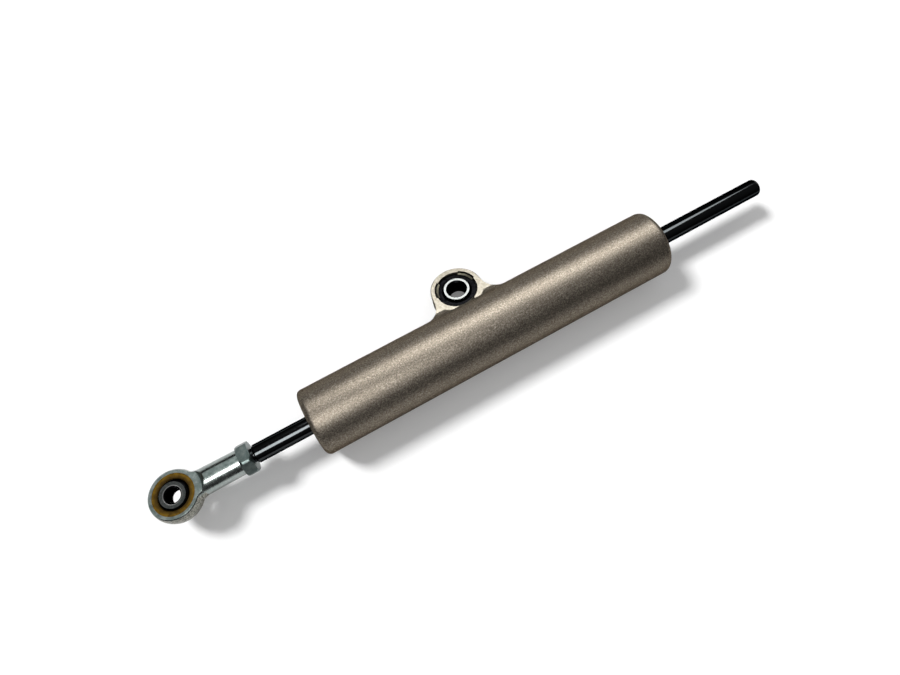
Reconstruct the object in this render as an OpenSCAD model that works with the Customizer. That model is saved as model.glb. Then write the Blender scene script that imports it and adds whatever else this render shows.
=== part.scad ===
// Motorcycle steering damper with a rod that passes right through its body.
// It lies as it rests on a table: on its barrel and on the edge of the lug.
// X runs along the rod from the rod end to the free tip, Z is up.
// The origin is the middle of the bounding box's floor.

/* [Body] */
// Outside diameter of the barrel
body_d = 29.4; // [28:0.1:32]
// Length of the barrel
body_len = 169; // [164:1:200]
// Edge radius of the barrel's two ends
end_round = 2.4; // [1:0.1:2.8]
// Distance from the rod end side of the barrel to the lug's bore
lug_from_end = 81.6; // [70:0.1:95]
// Diameter of the oil chamber, and of the piston's bore
chamber_d = 22; // [20:0.1:22.6]

/* [Lug] */
// Distance from the barrel's axis to the lug's bore
lug_reach = 23.7; // [23:0.1:27]
// Outside diameter of the lug's ring
lug_ring_d = 23.4; // [22.5:0.1:26]
// Thickness between the lug's machined faces
lug_t = 8; // [7.5:0.1:9]
// How deep each face is machined below the rough web
lug_skim = 0.35; // [0.2:0.05:0.6]
// Concave radius between the web and the barrel
web_round = 4.5; // [3:0.1:6]
// Concave radius of the tails that run out along the barrel
tail_round = 9; // [6:0.1:14]
// How far the spot facing reaches past the lug's ring
spot_over = 0.15; // [0.05:0.05:0.3]
// How far the straight face cut reaches into the web's blend
skim_bite = 0.2; // [0.1:0.05:0.4]
// Chamfer on the lug ring's edges
lug_chamfer = 0.3; // [0.1:0.05:0.6]

/* [Lug bearing] */
// Outside diameter of the bearing's race
race_d = 17.8; // [17:0.1:18]
// Width of the bearing's race
race_w = 5.8; // [5:0.1:6.4]
// Chamfer at the mouth of the race's seat
seat_chamfer = 0.4; // [0.1:0.05:0.5]
// Chamfer at the race's inner edges
race_chamfer = 0.3; // [0.1:0.05:0.5]
// Width of the bearing's ball
lug_ball_w = 8.2; // [8.2:0.1:9.4]
// Outside diameter of the ball's flat ring face
lug_ball_face_d = 11.4; // [11:0.1:12]
// Bolt bore through the ball
lug_bore_d = 8; // [6:0.1:8.6]
// Chamfer at both ends of the bolt bore
lug_bore_chamfer = 0.7; // [0.2:0.05:0.9]
// Wall left between the race's seat and the staked arc
stake_wall = 0.1; // [0.05:0.05:0.2]
// Width of the arc pressed into the face to stake the race
stake_w = 0.85; // [0.4:0.05:0.95]
// Depth of the staked arc
stake_depth = 0.8; // [0.4:0.05:1]
// How far the staked lip reaches over the race
lip_over = 0.65; // [0.3:0.05:0.8]
// Thickness of the staked lip at its inner edge
lip_edge = 0.45; // [0.3:0.05:0.8]
// Angle that each staked arc covers
stake_angle = 50; // [30:1:70]
// Angle at which the first staked arc begins
stake_first = 8; // [0:1:40]
// Number of staked arcs
stake_count = 3; // [2:1:4]

/* [Rod guides] */
// Diameter of the rod guides, and of their seats in the barrel
guide_d = 24; // [23.6:0.1:24.6]
// Depth of the circlip below the barrel's end face
end_recess = 1.6; // [1.2:0.1:3]
// Chamfer at the barrel's two mouths
mouth_chamfer = 0.5; // [0.2:0.1:0.8]
// Thickness of the circlip
circlip_t = 1.2; // [0.8:0.1:1.5]
// Radial width of the circlip
circlip_w = 2; // [1.6:0.1:2.4]
// Depth of the circlip's groove in the barrel
circlip_groove = 0.6; // [0.3:0.05:0.8]
// Angle of the circlip's gap
circlip_gap = 34; // [30:1:50]
// Diameter of the circlip's two eyes
circlip_eye_d = 3.2; // [2.6:0.1:3.4]
// Hole in each eye for the pliers
circlip_hole_d = 1.6; // [1:0.1:1.8]
// Outside diameter of the rod seal and wiper
seal_d = 14; // [13:0.1:15]
// Height of the wiper
wiper_t = 3; // [2.5:0.1:3.5]
// How far the wiper's lip stands out of the rod guide
wiper_lip = 0.9; // [0.4:0.1:1.2]
// Thickness of the wiper's lip at its tip
wiper_lip_t = 0.5; // [0.3:0.05:0.8]
// Height of the rod seal
seal_t = 4.2; // [3.5:0.1:4.6]
// Depth of the groove between the rod seal's lips
seal_groove = 2.3; // [1.5:0.1:2.6]
// Wall between wiper, seal and bush
land_t = 2; // [1.5:0.1:2.5]
// Outside diameter of the guide bush
bush_d = 10; // [9.6:0.1:11.5]
// Length of the guide bush
bush_len = 12; // [8:0.5:13]
// Thickness of the O-ring's cord
oring_t = 1.8; // [1.2:0.1:2]
// Width of the O-ring's groove
oring_slot_w = 2.4; // [2.1:0.1:3]

/* [Piston] */
// Length of the piston
piston_len = 14; // [12:0.5:15]
// Width of the piston ring
ring_w = 3; // [2:0.1:4]
// Radial thickness of the piston ring
ring_t = 1.8; // [1.2:0.1:2]
// Diameter of each bleed passage
bleed_d = 1.6; // [1:0.1:2]
// Diameter of the circle of bleed passages
bleed_pcd = 14; // [13:0.1:15]
// Number of bleed passages
bleed_count = 4; // [2:1:8]
// Diameter of the largest shim
shim_d = 17; // [16:0.1:18]
// Thickness of one shim
shim_t = 0.3; // [0.2:0.05:0.4]
// How much smaller each next shim is across
shim_step = 1.7; // [1:0.1:2]
// Number of shims on each face
shim_count = 3; // [2:1:3]
// Thickness of the piston's clips
clip_t = 0.9; // [0.7:0.1:1.1]
// Radial width of the piston's clips past the rod
clip_w = 1.7; // [1.3:0.1:2]
// Opening of the piston's clips
clip_gap = 5.6; // [4:0.1:6]
// Depth of the clip grooves in the rod
clip_groove = 0.5; // [0.3:0.05:0.7]

/* [Rod] */
// Diameter of the piston rod
rod_d = 8; // [7.4:0.1:8.4]
// Rod between the barrel and the rod end's collar
rod_out_left = 26.1; // [25.5:0.1:60]
// Rod between the barrel and the rod's free tip
rod_out_right = 57.8; // [54:0.1:90]
// Travel of the rod out of the barrel, towards the rod end
travel_out = 50; // [30:1:52]
// Travel of the rod into the barrel, towards the tip
travel_in = 24; // [10:1:25]
// Edge radius of the rod's free tip
tip_round = 1.4; // [0.4:0.1:2]
// Chamfer of the rod's shoulder at the thread
shoulder_chamfer = 0.6; // [0.2:0.1:0.9]
// Diameter of the rod's thread in the rod end
thread_d = 6; // [5:0.1:6.6]
// Length of the rod's thread
thread_len = 18; // [12:0.5:20]
// How much deeper the threaded hole is than the thread
thread_spare = 2; // [0.5:0.5:2]
// Distance from the rod's shoulder to the rod end's collar
shoulder_gap = 0.9; // [0.3:0.1:2]

/* [Rod end] */
// Distance from the eye's centre to the collar's end
rod_end_len = 32.8; // [31:0.1:40]
// Outside diameter of the eye
eye_d = 20.3; // [19.6:0.1:22]
// Thickness of the eye between its machined faces
eye_t = 7; // [6.6:0.1:7.6]
// Radius of the eye's machined face, about the bore's axis
face_cut_r = 11.5; // [11.2:0.1:12.6]
// How far the forged rim bulges halfway between the faces
eye_crown = 0.45; // [0.1:0.05:0.8]
// Chamfer between the eye's faces and its rim
eye_chamfer = 0.35; // [0.1:0.05:0.6]
// Diameter of the shank at the collar
shank_d = 10.7; // [8.8:0.1:11.2]
// Diameter of the shank at the eye
shank_eye_d = 11.1; // [10:0.1:12]
// Concave radius between the shank and the eye's rim
neck_round = 7.5; // [4:0.1:8]
// Size of the hexagon collar across its flats
hex_af = 12.5; // [11.6:0.1:13]
// Length of the hexagon collar
hex_len = 4.8; // [4:0.1:8]
// Diameter to which the collar's two ends are bevelled
hex_face_d = 13; // [12.6:0.1:13.6]
// Diameter to which the collar's corners are turned
hex_corner_d = 13.9; // [13.7:0.1:14.4]
// Length of the bevel on the collar's corners
hex_bevel = 0.9; // [0.3:0.1:1.5]
// Outside diameter of the bronze race
bronze_d = 17.2; // [16.2:0.1:17.4]
// Width of the bronze race
bronze_w = 6.6; // [6:0.1:6.8]
// Chamfer at the bronze race's inner edges
bronze_chamfer = 0.6; // [0.2:0.05:0.8]
// Diameter of the rod end's ball
ball_d = 13.8; // [13.4:0.1:14]
// Width of the rod end's ball
ball_w = 9; // [8.6:0.1:9.4]
// Bolt bore through the rod end's ball
ball_bore_d = 6; // [5.6:0.1:8]
// Chamfer at both ends of that bore
ball_chamfer = 0.9; // [0.1:0.05:1]
// Angle by which that ball leans in its race
ball_lean = 6; // [-10:1:10]
// Angle by which the rod end is turned from the lug
rod_end_turn = 7; // [-60:1:60]

/* [Fits] */
// Radial clearance of the rod in its bushes, seals and piston
rod_fit = 0.03; // [0.02:0.01:0.08]
// Radial room between the rod and the rod guides
guide_gap = 0.2; // [0.1:0.05:0.4]
// Radial clearance of the piston in its bore
piston_fit = 0.05; // [0.02:0.01:0.08]
// Radial clearance of the piston ring in its bore
ring_fit = 0.02; // [0.01:0.005:0.05]
// Radial clearance of each ball in its race
ball_fit = 0.03; // [0.02:0.01:0.08]
// Clearance of pieces that are pressed or screwed together
seat_fit = 0.02; // [0.01:0.01:0.04]

/* [Hidden] */
$fn = 96;

// Finishes
BRONZE_GREY = [0.50, 0.46, 0.41];
BLACK = [0.07, 0.07, 0.08];
DARK_STEEL = [0.25, 0.25, 0.27];
ZINC = [0.66, 0.70, 0.69];
BRONZE = [0.45, 0.31, 0.07];
RUBBER = [0.12, 0.12, 0.12];
ALUMINIUM = [0.75, 0.75, 0.76];
STEEL = [0.58, 0.60, 0.62];
FLUOROPLASTIC = [0.30, 0.42, 0.36];

// Overshoot of cutting solids past the face that they cut
over = 1;
// How far blends dip into the barrel, so that they run out in a clean line
blend_bite = 0.04;

body_r = body_d / 2;
rod_r = rod_d / 2;
chamber_r = chamber_d / 2;
guide_r = guide_d / 2;
lug_ring_r = lug_ring_d / 2;
race_r = race_d / 2;

// Places along the barrel's axis, from the lug's bore
left_end = -lug_from_end;
right_end = body_len - lug_from_end;
body_mid = (left_end + right_end) / 2;
collar_x = left_end - rod_out_left;
eye_x = collar_x - rod_end_len;
tip_x = right_end + rod_out_right;

// Piston pack: piston, shims and clips, centred in the chamber at half travel
shim_pack = shim_count * shim_t;
pack_half = piston_len / 2 + shim_pack + seat_fit + clip_t;
chamber_margin = 0.5;
chamber_half = (travel_out + travel_in) / 2 + pack_half + chamber_margin;
piston_x = body_mid + (travel_out - travel_in) / 2;

// Rod guide, measured inwards from the barrel's end face
guide_start = end_recess + circlip_t;
guide_end = body_len / 2 - chamber_half;
seal_start = guide_start + wiper_t + land_t;
bush_start = guide_end - bush_len;
oring_at = guide_start + wiper_t + land_t + seal_t / 2;

// Blends of the lug into the barrel
web_half = lug_t / 2 + lug_skim;
web_blend_r = body_r + web_round - blend_bite;
web_blend_z = web_half + web_round;
web_blend_y = sqrt(web_blend_r * web_blend_r - web_blend_z * web_blend_z);
skim_edge = web_blend_y - skim_bite;
tail_y = body_r + tail_round - blend_bite;
tail_span = lug_ring_r + tail_round;
tail_x = sqrt(tail_span * tail_span - (tail_y - lug_reach) * (tail_y - lug_reach));
tail_top = lug_reach + (tail_y - lug_reach) * lug_ring_r / tail_span;

// Lug bearing
lug_ball_r = norm([lug_ball_face_d / 2, lug_ball_w / 2]);
lip_r = race_r - lip_over;
slit_r = race_r + stake_wall;
slit_mid = slit_r + stake_w / 2;

// Rest on a table: barrel and lug edge on the same plane
lug_edge_out = lug_reach + lug_ring_r - lug_chamfer;
lug_edge_far = norm([lug_edge_out, lug_t / 2]);
lug_droop = asin(body_r / lug_edge_far) - atan2(lug_t / 2, lug_edge_out);
far_y = (lug_reach + lug_ring_r) * cos(lug_droop) + (lug_t / 2 - lug_chamfer) * sin(lug_droop);
mid_x = (eye_x - eye_d / 2 - eye_crown + tip_x) / 2;
mid_y = (far_y - body_r) / 2;

// Rod end, with its bore along Z before it is turned
crown_half = eye_t / 2 - eye_chamfer;
crown_r = (crown_half * crown_half + eye_crown * eye_crown) / (2 * eye_crown);
crown_at = eye_d / 2 + eye_crown - crown_r;
neck_y = shank_eye_d / 2 + neck_round;
neck_span = eye_d / 2 + neck_round - blend_bite;
neck_x = sqrt(neck_span * neck_span - neck_y * neck_y);
hex_r = hex_af / 2 / cos(30);
hex_face_r = hex_face_d / 2;
hex_corner_r = hex_corner_d / 2;
hole_depth = thread_len + thread_spare;

// Lays the damper down as it rests
module rest() {
  translate([-mid_x, -mid_y, body_r]) rotate([-lug_droop, 0, 0]) children();
}

// Turns a solid made along Z so that it runs along X from x
module along_x(x) {
  translate([x, 0, 0]) rotate([0, 90, 0]) children();
}

// Puts a solid made along Z on an end of the barrel, with Z pointing inwards
module at_end(side) {
  translate([side > 0 ? right_end : left_end, 0, 0]) rotate([0, -90 * side, 0]) children();
}

// Turns the rod end about the rod
module at_eye() {
  translate([eye_x, 0, 0]) rotate([rod_end_turn, 0, 0]) children();
}

// Ring along Z from z, with an outside and an inside radius
module ring(z, h, outside, inside) {
  translate([0, 0, z]) difference() {
    cylinder(r = outside, h = h);
    translate([0, 0, -over]) cylinder(r = inside, h = h + 2 * over);
  }
}

// Barrel turned with a rounded edge at both ends
module barrel_blank() {
  along_x(left_end) rotate_extrude() difference() {
    square([body_r, body_len]);
    translate([body_r - end_round, 0]) difference() {
      translate([0, -over]) square([end_round + over, end_round + over]);
      translate([0, end_round]) circle(r = end_round);
    }
    translate([body_r - end_round, body_len - end_round]) difference() {
      square([end_round + over, end_round + over]);
      circle(r = end_round);
    }
  }
}

// Section of the web across the barrel, with its concave blends
module web_section() {
  translate([0, -web_half]) square([lug_reach + lug_ring_r, 2 * web_half]);
  for (side = [1, -1]) difference() {
    polygon([[0, 0], [web_blend_y, side * web_blend_z], [web_blend_y, 0]]);
    translate([web_blend_y, side * web_blend_z]) circle(r = web_round);
  }
}

// Shape turned up to the lug, whose concave tails run out along the barrel
module tail_flare() {
  along_x(0) rotate_extrude() difference() {
    translate([0, -tail_x]) square([tail_top, 2 * tail_x]);
    for (side = [1, -1]) translate([tail_y, side * tail_x]) circle(r = tail_round);
  }
}

module lug_ring() {
  half = lug_t / 2;
  translate([0, lug_reach, 0]) rotate_extrude() polygon([
    [0, -half], [lug_ring_r - lug_chamfer, -half], [lug_ring_r, lug_chamfer - half],
    [lug_ring_r, half - lug_chamfer], [lug_ring_r - lug_chamfer, half], [0, half]]);
}

module lug_blank() {
  lug_ring();
  intersection() {
    rotate([90, 0, 90]) linear_extrude(2 * tail_x, center = true) web_section();
    tail_flare();
  }
}

// What the cutter takes off one face of the lug
module face_cut() {
  height = body_r;
  translate([0, lug_reach, lug_t / 2]) cylinder(r = lug_ring_r + spot_over, h = height);
  translate([-tail_x - over, skim_edge, lug_t / 2]) cube([2 * (tail_x + over), lug_reach, height]);
}

// Turns a section about the lug's bore through each of the staked arcs
module staked_arcs() {
  translate([0, lug_reach, 0]) for (i = [0 : stake_count - 1])
    rotate([0, 0, stake_first + i * 360 / stake_count]) rotate_extrude(angle = stake_angle) children();
}

// Stepped bore of the lug: a shoulder below the race, room for it above and a chamfered mouth
module lug_bore() {
  translate([0, lug_reach, 0]) {
    translate([0, 0, -lug_t / 2 - over]) cylinder(r = lip_r, h = lug_t + 2 * over);
    translate([0, 0, -race_w / 2]) cylinder(r = race_r, h = race_w / 2 + lug_t / 2 + over);
    translate([0, 0, lug_t / 2 - seat_chamfer])
      cylinder(r1 = race_r, r2 = race_r + seat_chamfer + over, h = seat_chamfer + over);
  }
}

// Metal pushed over the race, which slopes down to the lip's inner edge
module staked_lips() {
  staked_arcs() polygon([[lip_r, race_w / 2], [slit_mid, race_w / 2], [slit_mid, lug_t / 2],
    [lip_r, race_w / 2 + lip_edge]]);
}

// Slits that the staking tool leaves behind the lips
module staked_slits() {
  staked_arcs() translate([slit_r, lug_t / 2 - stake_depth]) square([stake_w, stake_depth + over]);
}

module cylinder_bore() {
  along_x(body_mid - chamber_half) cylinder(r = chamber_r, h = 2 * chamber_half);
  for (side = [-1, 1]) at_end(side) {
    translate([0, 0, -over]) cylinder(r = guide_r, h = guide_end + over);
    translate([0, 0, end_recess]) cylinder(r = guide_r + circlip_groove, h = circlip_t);
    translate([0, 0, -over])
      cylinder(r1 = guide_r + over + mouth_chamfer, r2 = guide_r, h = over + mouth_chamfer);
  }
}

module cylinder_body() {
  color(BRONZE_GREY) rest() {
    difference() {
      union() {
        difference() {
          union() {
            barrel_blank();
            lug_blank();
          }
          face_cut();
          mirror([0, 0, 1]) face_cut();
          lug_bore();
          cylinder_bore();
        }
        staked_lips();
      }
      staked_slits();
    }
  }
}

// Ring with a spherical seat, along Z
module spherical_race(outside, width, ball_r, chamfer) {
  mouth = sqrt(ball_r * ball_r - width * width / 4);
  difference() {
    cylinder(r = outside, h = width, center = true);
    sphere(r = ball_r);
    for (side = [0, 1]) mirror([0, 0, side]) translate([0, 0, width / 2 - chamfer])
      cylinder(r1 = mouth, r2 = mouth + 2 * chamfer, h = 2 * chamfer);
  }
}

// Ball with flat ring faces and a chamfered bolt bore, along Z
module bored_ball(ball_r, width, bore, chamfer) {
  difference() {
    intersection() {
      sphere(r = ball_r);
      cube([3 * ball_r, 3 * ball_r, width], center = true);
    }
    cylinder(r = bore / 2, h = width + 2 * over, center = true);
    for (side = [0, 1]) mirror([0, 0, side]) translate([0, 0, width / 2 - chamfer])
      cylinder(r1 = bore / 2, r2 = bore / 2 + 2 * chamfer, h = 2 * chamfer);
  }
}

module lug_bearing_race() {
  color(BLACK) rest() translate([0, lug_reach, 0])
    spherical_race(race_r - seat_fit, race_w, lug_ball_r + ball_fit, race_chamfer);
}

module lug_bearing_ball() {
  color(BLACK) rest() translate([0, lug_reach, 0])
    bored_ball(lug_ball_r, lug_ball_w, lug_bore_d, lug_bore_chamfer);
}

// Gland that closes the barrel and carries the rod
module rod_guide(side) {
  color(ALUMINIUM) rest() at_end(side) difference() {
    ring(guide_start, guide_end - guide_start, guide_r - seat_fit, rod_r + guide_gap);
    translate([0, 0, guide_start - over]) cylinder(r = seal_d / 2, h = wiper_t + over);
    translate([0, 0, seal_start]) cylinder(r = seal_d / 2, h = seal_t);
    translate([0, 0, bush_start]) cylinder(r = bush_d / 2, h = bush_len + over);
    ring(oring_at - oring_slot_w / 2, oring_slot_w, guide_r + over, guide_r - oring_t - seat_fit);
  }
}

module guide_bush(side) {
  color(BRONZE) rest() at_end(side)
    ring(bush_start, bush_len, bush_d / 2 - seat_fit, rod_r + rod_fit);
}

// Cup seal with its lips towards the oil
module rod_seal(side) {
  middle = (seal_d / 2 + rod_r) / 2;
  color(RUBBER) rest() at_end(side) difference() {
    ring(seal_start, seal_t, seal_d / 2 - seat_fit, rod_r + rod_fit);
    translate([0, 0, seal_start + seal_t]) rotate_extrude()
      polygon([[middle, -seal_groove], [middle + seal_groove / 2, over], [middle - seal_groove / 2, over]]);
  }
}

// Wiper whose lip stands out of the rod guide along the rod
module wiper(side) {
  inside = rod_r + rod_fit;
  outside = seal_d / 2 - seat_fit;
  color(RUBBER) rest() at_end(side) translate([0, 0, guide_start]) rotate_extrude()
    polygon([[inside, -wiper_lip], [inside + wiper_lip_t, -wiper_lip],
      [inside + wiper_lip_t + wiper_lip, 0], [outside, 0], [outside, wiper_t], [inside, wiper_t]]);
}

module guide_o_ring(side) {
  color(RUBBER) rest() at_end(side) translate([0, 0, oring_at]) rotate_extrude()
    translate([guide_r - oring_t / 2 - seat_fit / 2, 0]) circle(d = oring_t);
}

// Inside circlip: an open ring with two eyes for the pliers
module circlip(side) {
  outside = guide_r + circlip_groove - seat_fit;
  eye_out = guide_r - circlip_eye_d / 2 - seat_fit;
  color(DARK_STEEL) rest() at_end(side) translate([0, 0, end_recess + seat_fit])
    linear_extrude(circlip_t - 2 * seat_fit) difference() {
      union() {
        difference() {
          circle(r = outside);
          circle(r = outside - circlip_w);
          polygon([[0, 0], 2 * outside * [cos(circlip_gap / 2), -sin(circlip_gap / 2)],
            2 * outside * [cos(circlip_gap / 2), sin(circlip_gap / 2)]]);
        }
        for (s = [-1, 1]) rotate(s * circlip_gap / 2) translate([eye_out, 0]) circle(d = circlip_eye_d);
      }
      for (s = [-1, 1]) rotate(s * circlip_gap / 2) translate([eye_out, 0]) circle(d = circlip_hole_d);
    }
}

module piston() {
  color(ALUMINIUM) rest() along_x(piston_x - piston_len / 2) difference() {
    ring(0, piston_len, chamber_r - piston_fit, rod_r + rod_fit);
    ring((piston_len - ring_w) / 2, ring_w, chamber_r, chamber_r - piston_fit - ring_t);
    for (i = [0 : bleed_count - 1]) rotate([0, 0, (i + 0.5) * 360 / bleed_count])
      translate([bleed_pcd / 2, 0, -over]) cylinder(d = bleed_d, h = piston_len + 2 * over);
  }
}

module piston_ring() {
  color(FLUOROPLASTIC) rest() along_x(piston_x - ring_w / 2 + seat_fit)
    ring(0, ring_w - 2 * seat_fit, chamber_r - ring_fit, chamber_r - piston_fit - ring_t + seat_fit);
}

// Shims on one face of the piston, each smaller than the one below it
module shim_stack(side) {
  inside = rod_r + rod_fit;
  steps = [for (i = [0 : shim_count - 1]) for (j = [i, i + 1])
    [(shim_d - i * shim_step) / 2, piston_len / 2 + j * shim_t]];
  color(STEEL) rest() translate([piston_x, 0, 0]) rotate([0, 90 * side, 0]) rotate_extrude()
    polygon(concat([[inside, piston_len / 2]], steps, [[inside, piston_len / 2 + shim_pack]]));
}

// Open ring in a groove of the rod
module piston_clip(side) {
  inside = rod_r - clip_groove + seat_fit;
  color(DARK_STEEL) rest() translate([piston_x, 0, 0]) rotate([0, 90 * side, 0])
    translate([0, 0, pack_half - clip_t]) linear_extrude(clip_t) difference() {
      circle(r = rod_r + clip_w);
      circle(r = inside);
      translate([0, -clip_gap / 2]) square([rod_r + clip_w + over, clip_gap]);
    }
}

module piston_rod() {
  shoulder = collar_x + shoulder_gap;
  thread_r = thread_d / 2 - seat_fit;
  color(BLACK) rest() difference() {
    along_x(0) rotate_extrude() difference() {
      polygon([[0, collar_x - thread_len], [thread_r, collar_x - thread_len], [thread_r, shoulder],
        [rod_r - shoulder_chamfer, shoulder], [rod_r, shoulder + shoulder_chamfer],
        [rod_r, tip_x], [0, tip_x]]);
      translate([rod_r - tip_round, tip_x - tip_round]) difference() {
        square([tip_round + over, tip_round + over]);
        circle(r = tip_round);
      }
    }
    for (side = [-1, 1]) translate([piston_x, 0, 0]) rotate([0, 90 * side, 0])
      ring(pack_half - clip_t - seat_fit, clip_t + 2 * seat_fit, rod_r + over, rod_r - clip_groove);
  }
}

// Turned shank that widens towards the eye and flares into its rim
module shank_blank() {
  collar_mid = rod_end_len - hex_len / 2;
  along_x(0) rotate_extrude() difference() {
    polygon([[0, 0], [neck_y, neck_x], [shank_eye_d / 2, neck_x],
      [shank_d / 2, collar_mid], [0, collar_mid]]);
    translate([neck_y, neck_x]) circle(r = neck_round);
  }
}

// Forged eye: its rim bulges, and a chamfer leads to each machined face
module eye_disc() {
  half = eye_t / 2;
  face_r = eye_d / 2 - eye_chamfer;
  rotate_extrude() intersection() {
    polygon([[0, -half], [face_r, -half], [face_r + half, 0], [face_r, half], [0, half]]);
    translate([crown_at, 0]) circle(r = crown_r);
    translate([0, -half]) square([eye_d, eye_t]);
  }
}

// Hexagon collar with bevelled corners, and flats square to the eye's bore
module hex_collar() {
  along_x(rod_end_len - hex_len) intersection() {
    rotate([0, 0, 30]) cylinder(r = hex_r, h = hex_len, $fn = 6);
    rotate_extrude() polygon([[0, 0], [hex_face_r, 0], [hex_corner_r, hex_bevel],
      [hex_corner_r, hex_len - hex_bevel], [hex_face_r, hex_len], [0, hex_len]]);
  }
}

module rod_end_housing() {
  color(ZINC) rest() at_eye() difference() {
    union() {
      eye_disc();
      shank_blank();
      hex_collar();
    }
    for (side = [0, 1]) mirror([0, 0, side]) translate([0, 0, eye_t / 2])
      cylinder(r1 = face_cut_r, r2 = face_cut_r + shank_eye_d, h = shank_eye_d);
    cylinder(d = bronze_d, h = eye_t + 2 * over, center = true);
    along_x(rod_end_len - hole_depth) cylinder(d = thread_d, h = hole_depth + over);
  }
}

module rod_end_race() {
  color(BRONZE) rest() at_eye()
    spherical_race(bronze_d / 2 - seat_fit, bronze_w, ball_d / 2 + ball_fit, bronze_chamfer);
}

module rod_end_ball() {
  color(DARK_STEEL) rest() at_eye() rotate([ball_lean, 0, 0])
    bored_ball(ball_d / 2, ball_w, ball_bore_d, ball_chamfer);
}

cylinder_body();
lug_bearing_race();
lug_bearing_ball();
rod_guide(-1);  // left_rod_guide
rod_guide(1);  // right_rod_guide
guide_bush(-1);  // left_guide_bush
guide_bush(1);  // right_guide_bush
rod_seal(-1);  // left_rod_seal
rod_seal(1);  // right_rod_seal
wiper(-1);  // left_wiper
wiper(1);  // right_wiper
guide_o_ring(-1);  // left_guide_o_ring
guide_o_ring(1);  // right_guide_o_ring
circlip(-1);  // left_circlip
circlip(1);  // right_circlip
piston();
piston_ring();
shim_stack(-1);  // left_shim_stack
shim_stack(1);  // right_shim_stack
piston_rod();
piston_clip(-1);  // left_piston_clip
piston_clip(1);  // right_piston_clip
rod_end_housing();
rod_end_race();
rod_end_ball();
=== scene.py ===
import math

import bpy
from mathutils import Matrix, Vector

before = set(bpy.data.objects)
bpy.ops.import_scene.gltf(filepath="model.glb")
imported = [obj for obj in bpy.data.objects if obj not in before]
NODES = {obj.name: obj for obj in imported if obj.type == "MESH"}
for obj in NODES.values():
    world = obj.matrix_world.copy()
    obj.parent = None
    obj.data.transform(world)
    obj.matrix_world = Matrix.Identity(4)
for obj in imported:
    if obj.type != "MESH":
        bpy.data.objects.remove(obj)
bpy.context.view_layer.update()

MM = 0.001

# Places and sizes in the row frame, in millimetres and degrees, as in the part's source
AXIS_Y = -10.0497
AXIS_Z = 14.7
LUG_X = 2.95
LUG_DROOP = 18.0879
LUG_REACH = 23.7
LUG_HALF = 4.0
LUG_FROM = 10.0
LUG_BALL_HALF = 4.1
BORE_EDGE_R = 11.0
BORE_EDGE = 0.15
LIP_DEPTH = 0.75
CUT_EDGE = 16.79
TAIL_FROM = 9.6
SPOT_R = 11.85
SLIT_INNER = 9.0
SLIT_OUTER = 9.85
EYE_X = -137.55
EYE_TILT = LUG_DROOP - 7.0
EYE_END = 11.5
COLLAR_X = 27.9
BALL_TILT = EYE_TILT - 6.0
BALL_HALF = 4.5
BALL_MOUTH = 4.36
BALL_MOUTH_R = 4.3

# Widths of the lines between finishes, and of the painted highlight and shade strips, in
# millimetres
SOFT = 0.02
RUBBED_RING = 0.1
HIGHLIGHT_STRIP_WIDTH = 0.3
STEP_SHADOW_LINE = 0.08

# How squarely a face has to look along its bore to count as flat, as a cosine
SQUARE = 0.9
NEARLY_SQUARE = 0.8
SLOPING = 0.4

# Colours, linear
BRONZE = ((0.0574, 0.0476, 0.0369), (0.168, 0.146, 0.117), (0.41, 0.365, 0.307))
BRONZE_CLOUD = (0.156, 0.127, 0.1)
BARE_METAL = ((0.197, 0.176, 0.135), (0.303, 0.279, 0.23), (0.41, 0.385, 0.328))
SEAT_SHADE = (0.0246, 0.0221, 0.0189)
LIP = ((0.107, 0.1, 0.0722), (0.197, 0.187, 0.143))
GAP_SHADE = (0.0082, 0.00738, 0.00656)
BLACK_STEEL = ((0.00258, 0.00258, 0.00301), (0.00946, 0.00946, 0.0103))
GROUND_RING = ((0.378, 0.396, 0.387), (0.499, 0.516, 0.499))
BLACK_ROD = ((0.0286, 0.0311, 0.0319), (0.0386, 0.042, 0.0437))
ZINC_SHANK = ((0.206, 0.237, 0.228), (0.284, 0.318, 0.305), (0.378, 0.408, 0.396))
ZINC_DULL = ((0.138, 0.181, 0.172), (0.215, 0.262, 0.249), (0.327, 0.37, 0.353))
ZINC_FORGED = ((0.0602, 0.0585, 0.0499), (0.232, 0.228, 0.194), (0.413, 0.408, 0.361))
ZINC_COLLAR = (0.043, 0.0602, 0.0585)
RACE = ((0.101, 0.0515, 0.00184), (0.198, 0.112, 0.00644))
RACE_SHADE = (0.0414, 0.0221, 0.00184)
BALL_DARK = ((0.0054, 0.0054, 0.0063), (0.0162, 0.0162, 0.018))
BALL_GROUND = ((0.0405, 0.045, 0.0441), (0.09, 0.0963, 0.0927))
BALL_MOUTH_HIGHLIGHT = (0.558, 0.567, 0.558)
PAPER = ((0.82, 0.82, 0.82), (0.84, 0.84, 0.84))
WHITE = (1.0, 1.0, 1.0)


# Node helpers

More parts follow.
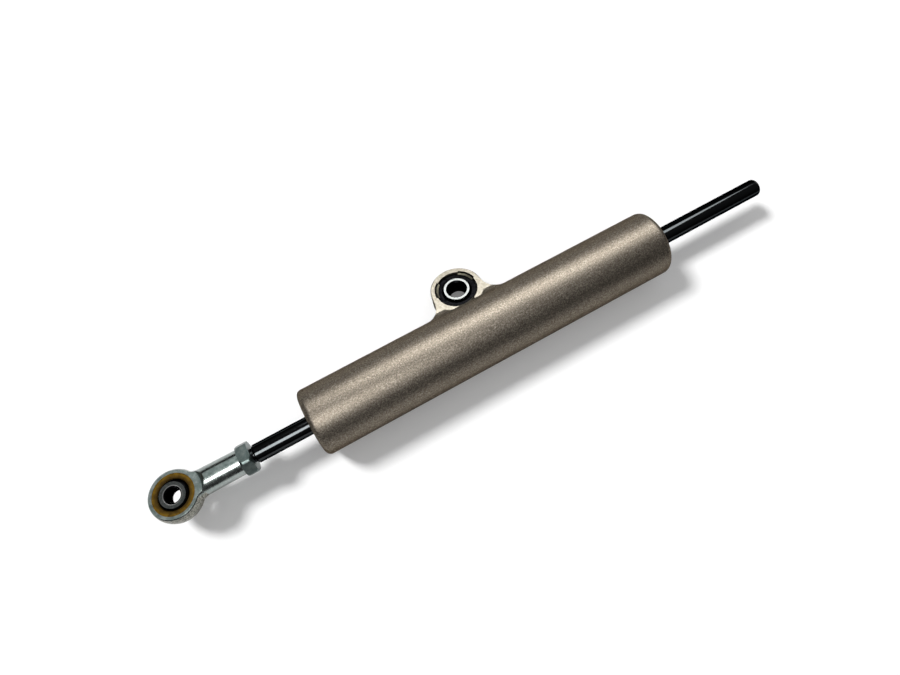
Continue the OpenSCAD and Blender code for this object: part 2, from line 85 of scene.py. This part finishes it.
class Nodes:
    """Builds one material's node tree with short calls."""

    def __init__(self, name):
        self.mat = bpy.data.materials.new(name)
        self.mat.use_nodes = True
        self.tree = self.mat.node_tree
        self.tree.nodes.clear()
        self.out = self.tree.nodes.new("ShaderNodeOutputMaterial")
        self.coord = self.tree.nodes.new("ShaderNodeTexCoord")

    def link(self, a, b):
        self.tree.links.new(a, b)

    def feed(self, socket, value):
        """Links an output to the socket, or sets the socket's own value."""
        if isinstance(value, bpy.types.NodeSocket):
            self.link(value, socket)
        elif isinstance(value, (tuple, list)) and len(value) == 3 and socket.type == "RGBA":
            socket.default_value = (*value, 1.0)
        else:
            socket.default_value = value

    def math(self, op, a, b=0.0):
        n = self.tree.nodes.new("ShaderNodeMath")
        n.operation = op
        self.feed(n.inputs[0], a)
        self.feed(n.inputs[1], b)
        return n.outputs[0]

    def product(self, value, *others):
        """The product of values, or the overlap of masks."""
        for other in others:
            value = self.math("MULTIPLY", value, other)
        return value

    def either(self, mask, *others):
        for other in others:
            mask = self.math("MAXIMUM", mask, other)
        return mask

    def over(self, value, limit):
        return self.math("GREATER_THAN", value, limit)

    def under(self, value, limit):
        return self.math("LESS_THAN", value, limit)

    def magnitude(self, value):
        return self.math("ABSOLUTE", value)

    def length(self, a, b):
        squares = self.math("ADD", self.product(a, a), self.product(b, b))
        return self.math("SQRT", squares)

    def blended_sum(self, a, share_a, b, share_b):
        return self.math("ADD", self.product(a, share_a), self.product(b, share_b))

    def position(self):
        return self.coord.outputs["Object"]

    def normal(self):
        return self.coord.outputs["Normal"]

    def split(self, vector):
        n = self.tree.nodes.new("ShaderNodeSeparateXYZ")
        self.feed(n.inputs[0], vector)
        return n.outputs[0], n.outputs[1], n.outputs[2]

    def join(self, x, y, z):
        n = self.tree.nodes.new("ShaderNodeCombineXYZ")
        for i, v in enumerate((x, y, z)):
            self.feed(n.inputs[i], v)
        return n.outputs[0]

    def turned(self, origin, angle, vector=None):
        """The place, in millimetres from origin, or else a vector, in a frame turned about X.

        Gives the parts along the rod, across it, and along a bore that leans by angle degrees.
        """
        n = self.tree.nodes.new("ShaderNodeVectorMath")
        n.operation = "SUBTRACT"
        self.feed(n.inputs[0], self.position() if vector is None else vector)
        n.inputs[1].default_value = [c * MM for c in origin]
        x, y, z = self.split(n.outputs[0])
        unit = 1.0 / MM if vector is None else 1.0
        c = math.cos(math.radians(angle)) * unit
        s = math.sin(math.radians(angle)) * unit
        across = self.math("SUBTRACT", self.product(y, c), self.product(z, s))
        along = self.math("ADD", self.product(y, s), self.product(z, c))
        return self.product(x, unit), across, along

    def facing(self, angle):
        """1 on a face square to a bore that leans by angle degrees, 0 on its wall."""
        _, _, along = self.turned((0, 0, 0), angle, self.normal())
        return self.magnitude(along)

    def noise(self, scale, detail=2.0, rough=0.5, vector=None):
        """Noise around 0.5, with its scale in features per metre."""
        n = self.tree.nodes.new("ShaderNodeTexNoise")
        self.feed(n.inputs["Vector"], self.position() if vector is None else vector)
        n.inputs["Scale"].default_value = scale
        n.inputs["Detail"].default_value = detail
        n.inputs["Roughness"].default_value = rough
        return n.outputs["Fac"]

    def span(self, value, low, high, to_low=0.0, to_high=1.0):
        """Maps low to high onto to_low to to_high, and holds the ends."""
        n = self.tree.nodes.new("ShaderNodeMapRange")
        n.clamp = True
        self.feed(n.inputs["Value"], value)
        n.inputs["From Min"].default_value = low
        n.inputs["From Max"].default_value = high
        n.inputs["To Min"].default_value = to_low
        n.inputs["To Max"].default_value = to_high
        return n.outputs[0]

    def varied(self, noise, low, high):
        """A value that follows a noise from low to high."""
        return self.span(noise, 0.3, 0.7, low, high)

    def band(self, value, centre, half, soft=SOFT):
        """1 where value is within half of centre, falling to 0 over soft."""
        off = self.magnitude(self.math("SUBTRACT", value, centre))
        return self.span(off, half, half + soft, 1.0, 0.0)

    def mix(self, factor, a, b):
        n = self.tree.nodes.new("ShaderNodeMix")
        n.data_type = "RGBA"
        self.feed(n.inputs["Factor"], factor)
        self.feed(n.inputs[6], a)
        self.feed(n.inputs[7], b)
        return n.outputs[2]

    def blend(self, factor, a, b):
        n = self.tree.nodes.new("ShaderNodeMix")
        n.data_type = "FLOAT"
        self.feed(n.inputs["Factor"], factor)
        self.feed(n.inputs[2], a)
        self.feed(n.inputs[3], b)
        return n.outputs[0]

    def ramp(self, factor, places, colours):
        """Colours at their places along a factor from 0 to 1."""
        n = self.tree.nodes.new("ShaderNodeValToRGB")
        self.feed(n.inputs[0], factor)
        stops = n.color_ramp.elements
        while len(stops) < len(places):
            stops.new(0.5)
        for stop, place, colour in zip(stops, places, colours):
            stop.position = place
            stop.color = (*colour, 1.0)
        return n.outputs[0]

    def bump(self, height, depth, strength, normal=None):
        """Bump whose height of 1 stands for depth in millimetres."""
        n = self.tree.nodes.new("ShaderNodeBump")
        n.inputs["Strength"].default_value = strength
        n.inputs["Distance"].default_value = depth * MM
        self.feed(n.inputs["Height"], height)
        if normal is not None:
            self.feed(n.inputs["Normal"], normal)
        return n.outputs[0]

    def soft_edges(self, radius):
        n = self.tree.nodes.new("ShaderNodeBevel")
        n.samples = 4
        n.inputs["Radius"].default_value = radius * MM
        return n.outputs[0]

    def surface(self, **sockets):
        n = self.tree.nodes.new("ShaderNodeBsdfPrincipled")
        for key, value in sockets.items():
            self.feed(n.inputs[key.replace("_", " ")], value)
        self.link(n.outputs[0], self.out.inputs["Surface"])
        return self.mat


def dress(material, *names):
    for name in names:
        slots = NODES[name].material_slots
        if not slots:
            NODES[name].data.materials.append(material)
        for s in slots:
            s.material = material


# Materials of the pieces that the photo shows

def anodised():
    """Blasted and anodised barrel, with bare metal where the lug was faced, painted shade in the
    lug's hollows and a painted highlight along the cut.
    """
    m = Nodes("bronze_anodised")
    x, across, height = m.turned((LUG_X, AXIS_Y, AXIS_Z), LUG_DROOP)
    facing = m.facing(LUG_DROOP)
    level = m.magnitude(height)
    radius = m.length(x, m.math("SUBTRACT", across, LUG_REACH))

    # Where the lug is machined, where an edge of it is worn bright, and a bare strip along the cut
    # that is a painted highlight
    on_lug = m.over(across, LUG_FROM)
    flat = m.product(m.band(level, LUG_HALF, SOFT), m.over(facing, SQUARE))
    edge = m.product(m.band(level, LUG_HALF - BORE_EDGE, BORE_EDGE + SOFT),
                     m.over(facing, SLOPING), m.under(radius, BORE_EDGE_R))
    wall = m.product(m.band(radius, SPOT_R, SOFT), m.over(level, LUG_HALF - 0.01))
    tail = m.over(m.magnitude(x), TAIL_FROM)
    rubbed_ring = m.band(radius, SPOT_R + RUBBED_RING, RUBBED_RING, 0.06)
    # A bright strip along the cut on the tails is a painted highlight
    highlight_strip = m.product(m.band(across, CUT_EDGE - HIGHLIGHT_STRIP_WIDTH, HIGHLIGHT_STRIP_WIDTH, 0.1), tail)
    rubbed_and_highlight = m.product(m.either(rubbed_ring, highlight_strip), m.over(level, LUG_HALF + SOFT))
    bare = m.product(m.either(flat, edge, wall, rubbed_and_highlight), on_lug)

    # The race's seat, painted dark as shade, the staked lips that slope over it, and painted shade
    # in the slits and as a line beside the step
    seat = m.product(m.under(radius, SLIT_OUTER), m.under(level, LUG_HALF - 0.01))
    lip = m.product(seat, m.over(facing, NEARLY_SQUARE), m.over(level, LUG_HALF - LIP_DEPTH))
    slit_middle = (SLIT_INNER + SLIT_OUTER) / 2
    slit_half = (SLIT_OUTER - SLIT_INNER) / 2 + 0.03
    slit = m.product(m.band(radius, slit_middle, slit_half),
                     m.under(level, LUG_HALF - 0.06), on_lug)
    step = m.product(m.band(across, CUT_EDGE + 0.1, STEP_SHADOW_LINE, 0.05), tail, flat)

    # Blasted grain, with single grains that catch the light
    fine = m.noise(1500, 3.0, 0.65)
    grain = m.noise(3400, 1.0, 0.5)
    cloud = m.noise(60, 3.0, 0.55)
    tone = m.blended_sum(fine, 0.6, grain, 0.4)
    colour = m.ramp(m.span(tone, 0.3, 0.7), (0.0, 0.5, 1.0), BRONZE)
    colour = m.mix(m.span(cloud, 0.35, 0.7, 0.0, 0.2), colour, BRONZE_CLOUD)

    # Facing cuts leave faint turning marks about the lug's bore
    rings = m.noise(1.0, 2.0, 0.6, m.join(m.product(radius, 9.0), 0.0, 0.0))
    smear = m.noise(900, 3.0, 0.6)
    bright = m.ramp(m.blended_sum(rings, 0.6, smear, 0.4), (0.38, 0.5, 0.62), BARE_METAL)

    # The seat is painted dark as shade
    shade = m.mix(seat, m.mix(bare, colour, bright), SEAT_SHADE)
    shade = m.mix(lip, shade, m.ramp(fine, (0.35, 0.65), LIP))
    # The slits get painted shade and the step a painted shadow line
    shade = m.mix(m.either(slit, step), shade, GAP_SHADE)
    relief = m.blend(bare, m.blended_sum(fine, 0.7, grain, 0.5), m.product(rings, 0.12))
    return m.surface(
        Base_Color=shade, Metallic=1.0,
        Roughness=m.blend(bare, m.varied(fine, 0.40, 0.50), m.varied(rings, 0.30, 0.42)),
        Specular_Tint=(0.20, 0.19, 0.18), Normal=m.bump(relief, 0.05, 0.8))


def lug_bearing(name, ball):
    """Blackened bearing steel. The ball's ring faces are ground bright."""
    m = Nodes(name)
    wear = m.noise(900, 3.0, 0.6)
    colour = m.ramp(wear, (0.35, 0.75), BLACK_STEEL)
    rough, metallic = m.varied(wear, 0.22, 0.36), 1.0
    if ball:
        _, _, height = m.turned((LUG_X, AXIS_Y, AXIS_Z), LUG_DROOP)
        face = m.product(m.band(m.magnitude(height), LUG_BALL_HALF, 0.03),
                         m.over(m.facing(LUG_DROOP), SQUARE))
        colour = m.mix(face, colour, m.ramp(m.noise(1500, 2.0, 0.5), (0.3, 0.7), GROUND_RING))
        rough = m.blend(face, rough, 0.4)
        metallic = m.blend(face, 1.0, 0.4)
    return m.surface(Base_Color=colour, Metallic=metallic, Roughness=rough,
                     Specular_Tint=(0.05, 0.05, 0.05), Normal=m.bump(wear, 0.01, 0.3))


def black_rod():
    """Polished black rod, with the fine marks of its grinding round it."""
    m = Nodes("black_rod")
    x, y, z = m.split(m.position())
    drawn = m.join(m.product(x, 2500.0), m.product(y, 60.0), m.product(z, 60.0))
    polish = m.noise(1.0, 3.0, 0.6, drawn)
    return m.surface(Base_Color=m.ramp(polish, (0.3, 0.75), BLACK_ROD), Metallic=1.0,
                     Roughness=m.varied(polish, 0.07, 0.11),
                     Specular_Tint=(0.02, 0.02, 0.02), Normal=m.bump(polish, 0.002, 0.3))


def zinc():
    """Zinc plate: bright turned shank, duller faces and collar, and a forged rim round the eye."""
    m = Nodes("zinc_plate")
    x, _, _ = m.turned((EYE_X, AXIS_Y, AXIS_Z), EYE_TILT)
    facing = m.facing(EYE_TILT)
    rim = m.product(m.span(facing, 0.25, 0.45, 1.0, 0.0), m.under(x, EYE_END))
    collar = m.over(x, COLLAR_X)
    flat = m.either(m.over(facing, 0.97), collar)

    mottled = m.noise(700, 4.0, 0.65)
    pits = m.noise(1500, 4.0, 0.7)
    tone = m.blended_sum(mottled, 0.6, m.noise(160, 2.0, 0.5), 0.4)
    shank = m.ramp(tone, (0.3, 0.5, 0.72), ZINC_SHANK)
    dull = m.ramp(tone, (0.36, 0.5, 0.64), ZINC_DULL)
    dull = m.mix(m.product(collar, 0.6), dull, ZINC_COLLAR)
    forged = m.ramp(pits, (0.38, 0.5, 0.64), ZINC_FORGED)

    smooth = m.blend(flat, m.varied(mottled, 0.19, 0.28), m.varied(mottled, 0.28, 0.4))
    plated = m.blend(flat, 1.0, m.blend(collar, 0.75, 1.0))
    relief = m.blend(rim, m.product(mottled, 0.14), m.product(pits, 1.2))
    return m.surface(
        Base_Color=m.mix(rim, m.mix(flat, shank, dull), forged),
        Metallic=m.blend(rim, plated, 0.85),
        Roughness=m.blend(rim, smooth, m.varied(pits, 0.35, 0.5)),
        Normal=m.bump(relief, 0.06, 0.5, m.soft_edges(0.15)))


def race_bronze():
    """Stained bronze race, with painted shade darkening it towards the ball."""
    m = Nodes("race_bronze")
    stain = m.noise(700, 3.0, 0.6)
    x, across, _ = m.turned((EYE_X, AXIS_Y, AXIS_Z), EYE_TILT)
    # Painted shade: the race darkens towards the ball
    shade_towards_ball = m.span(m.math("ADD", m.length(x, across), stain), 7.6, 8.6, 0.75, 0.0)
    colour = m.mix(shade_towards_ball, m.ramp(stain, (0.3, 0.7), RACE), RACE_SHADE)
    return m.surface(Base_Color=colour, Metallic=0.75, Roughness=m.varied(stain, 0.34, 0.5),
                     Normal=m.bump(stain, 0.01, 0.4))


def rod_end_ball():
    """Oiled steel ball with dull ground ring faces and a painted highlight ring at its bore's
    mouth.
    """
    m = Nodes("ball_steel")
    x, across, height = m.turned((EYE_X, AXIS_Y, AXIS_Z), BALL_TILT)
    level = m.magnitude(height)
    wear = m.noise(1200, 3.0, 0.6)
    face = m.product(m.band(level, BALL_HALF, SOFT), m.over(m.facing(BALL_TILT), SQUARE))
    # Painted highlight: a bright ring at the bore's mouth
    mouth = m.product(m.band(level, BALL_MOUTH, 0.12, 0.01),
                      m.under(m.length(x, across), BALL_MOUTH_R))
    colour = m.mix(face, m.ramp(wear, (0.3, 0.7), BALL_DARK), m.ramp(wear, (0.3, 0.7), BALL_GROUND))
    return m.surface(Base_Color=m.mix(mouth, colour, BALL_MOUTH_HIGHLIGHT),
                     Metallic=m.blend(m.either(mouth, face), 1.0, 0.6),
                     Roughness=m.blend(face, m.varied(wear, 0.18, 0.3), 0.34),
                     Specular_Tint=(0.05, 0.05, 0.05), Normal=m.bump(wear, 0.006, 0.3))


# Materials of the pieces inside the barrel

def metal(name, low, high, smoothest, roughest):
    """Plain machined metal with slight mottling."""
    m = Nodes(name)
    tone = m.noise(900, 3.0, 0.6)
    return m.surface(Base_Color=m.ramp(tone, (0.3, 0.7), (low, high)), Metallic=1.0,
                     Roughness=m.varied(tone, smoothest, roughest),
                     Normal=m.bump(tone, 0.008, 0.3))


def turned_metal(name, low, high):
    """Lathe-turned metal, with fine marks round the rod's axis."""
    m = Nodes(name)
    x, y, z = m.split(m.position())
    radius = m.length(m.math("ADD", y, -AXIS_Y * MM), m.math("ADD", z, -AXIS_Z * MM))
    turning = m.join(m.product(x, 5000.0), m.product(radius, 7000.0), 0.0)
    marks = m.noise(1.0, 3.0, 0.6, turning)
    return m.surface(Base_Color=m.ramp(marks, (0.3, 0.7), (low, high)), Metallic=1.0,
                     Roughness=m.varied(marks, 0.26, 0.4), Normal=m.bump(marks, 0.01, 0.4))


def soft(name, low, high, smoothest, roughest):
    """Rubber or filled plastic with a fine moulded skin."""
    m = Nodes(name)
    tone = m.noise(2200, 3.0, 0.6)
    return m.surface(Base_Color=m.ramp(tone, (0.3, 0.7), (low, high)),
                     Roughness=m.varied(tone, smoothest, roughest),
                     Normal=m.bump(tone, 0.02, 0.4))


dress(anodised(), "cylinder_body")
dress(lug_bearing("black_steel_race", False), "lug_bearing_race")
dress(lug_bearing("black_steel_ball", True), "lug_bearing_ball")
dress(black_rod(), "piston_rod")
dress(zinc(), "rod_end_housing")
dress(race_bronze(), "rod_end_race")
dress(rod_end_ball(), "rod_end_ball")
dress(turned_metal("guide_aluminium", (0.46, 0.46, 0.47), (0.64, 0.64, 0.65)),
      "left_rod_guide", "right_rod_guide", "piston")
dress(metal("bush_bronze", (0.36, 0.22, 0.08), (0.50, 0.33, 0.14), 0.3, 0.45),
      "left_guide_bush", "right_guide_bush")
dress(metal("spring_steel", (0.035, 0.035, 0.038), (0.085, 0.085, 0.09), 0.28, 0.42),
      "left_circlip", "right_circlip", "left_piston_clip", "right_piston_clip")
dress(metal("shim_steel", (0.40, 0.41, 0.43), (0.55, 0.56, 0.58), 0.2, 0.32),
      "left_shim_stack", "right_shim_stack")
dress(soft("seal_rubber", (0.010, 0.010, 0.010), (0.028, 0.028, 0.028), 0.45, 0.6),
      "left_rod_seal", "right_rod_seal", "left_wiper", "right_wiper",
      "left_guide_o_ring", "right_guide_o_ring")
dress(soft("ring_polymer", (0.09, 0.15, 0.12), (0.15, 0.22, 0.18), 0.35, 0.5), "piston_ring")


# Floor: white for the camera and for reflections, and it keeps the shadow

def floor_material(lift_strength):
    m = Nodes("pale_floor")
    paper = m.tree.nodes.new("ShaderNodeBsdfDiffuse")
    m.feed(paper.inputs["Color"], m.ramp(m.noise(9, 2.0, 0.5), (0.3, 0.7), PAPER))
    path = m.tree.nodes.new("ShaderNodeLightPath").outputs
    seen = m.either(path["Is Camera Ray"], path["Is Glossy Ray"], path["Is Transmission Ray"])
    lift = m.tree.nodes.new("ShaderNodeEmission")
    m.feed(lift.inputs["Color"], WHITE)
    m.feed(lift.inputs["Strength"], m.product(seen, lift_strength))
    total = m.tree.nodes.new("ShaderNodeAddShader")
    m.link(paper.outputs[0], total.inputs[0])
    m.link(lift.outputs[0], total.inputs[1])
    m.link(total.outputs[0], m.out.inputs["Surface"])
    return m.mat


def floor(half, drop, lift_strength):
    """A square floor of twice half in metres, drop metres under the part."""
    corners = [(-half, -half, 0), (half, -half, 0), (half, half, 0), (-half, half, 0)]
    mesh = bpy.data.meshes.new("floor")
    mesh.from_pydata(corners, [], [(0, 1, 2, 3)])
    plane = bpy.data.objects.new("floor", mesh)
    plane.location.z = -drop
    mesh.materials.append(floor_material(lift_strength))
    bpy.context.scene.collection.objects.link(plane)


# Lamps, world and camera

def direction(azimuth, elevation):
    a, e = math.radians(azimuth), math.radians(elevation)
    return Vector((math.cos(e) * math.cos(a), math.cos(e) * math.sin(a), math.sin(e)))


def sun(name, azimuth, elevation, strength, spread):
    """Lights the floor and matte surfaces. Reflections don't show it."""
    data = bpy.data.lights.new(name, "SUN")
    data.energy = strength
    data.angle = math.radians(spread)
    lamp = bpy.data.objects.new(name, data)
    lamp.rotation_euler = direction(azimuth, elevation).to_track_quat("Z", "Y").to_euler()
    lamp.visible_glossy = False
    bpy.context.scene.collection.objects.link(lamp)


def softbox(name, target, azimuth, elevation, distance, size, power):
    """A lamp for reflections alone, so that it leaves the floor and its shadow as they are."""
    data = bpy.data.lights.new(name, "AREA")
    data.shape = "RECTANGLE"
    data.size, data.size_y = size
    data.energy = power
    lamp = bpy.data.objects.new(name, data)
    way = direction(azimuth, elevation)
    lamp.location = Vector(target) + way * distance
    lamp.rotation_euler = way.to_track_quat("Z", "Y").to_euler()
    lamp.visible_diffuse = False
    bpy.context.scene.collection.objects.link(lamp)


def dim_room(stops):
    """World that darkens towards the horizon, with the height and grey level of each stop."""
    world = bpy.data.worlds.new("studio")
    world.use_nodes = True
    tree = world.node_tree
    background = tree.nodes["Background"]
    place = tree.nodes.new("ShaderNodeTexCoord")
    height = tree.nodes.new("ShaderNodeSeparateXYZ")
    room = tree.nodes.new("ShaderNodeValToRGB")
    tree.links.new(place.outputs["Generated"], height.inputs[0])
    tree.links.new(height.outputs[2], room.inputs[0])
    tree.links.new(room.outputs[0], background.inputs["Color"])
    for stop, (position, grey) in zip(room.color_ramp.elements, stops):
        stop.position = position
        stop.color = (grey, grey, grey, 1.0)
    background.inputs["Strength"].default_value = 1.0
    bpy.context.scene.world = world


def photo_camera(location, angles, sensor, lens):
    """Camera at the photograph's place, with sensor width and lens in millimetres."""
    data = bpy.data.cameras.new("camera")
    data.sensor_fit = "HORIZONTAL"
    data.sensor_width = sensor
    data.lens = lens
    data.clip_start = 0.01
    data.clip_end = 50.0
    camera = bpy.data.objects.new("camera", data)
    camera.location = location
    camera.rotation_euler = [math.radians(a) for a in angles]
    bpy.context.scene.collection.objects.link(camera)
    bpy.context.scene.camera = camera


floor(half=6.0, drop=0.00002, lift_strength=0.14)
sun("shadow_key", azimuth=131, elevation=50, strength=3.2, spread=14)
sun("soft_fill", azimuth=131, elevation=88, strength=0.85, spread=150)
softbox("overhead", (-0.091, -0.010, 0.019), azimuth=-121, elevation=74, distance=0.6,
        size=(0.20, 0.27), power=2.45)
softbox("far_side", (0.03, -0.010, 0.026), azimuth=66, elevation=52, distance=0.7,
        size=(0.70, 0.31), power=5.9)
dim_room(((0.2, 0.02), (1.0, 0.15)))
photo_camera((-0.053613, -0.067137, 0.280594), (15.7127, -1.4806, -29.2422), 36.0, 25.8733)
bpy.context.scene.view_settings.view_transform = "Standard"
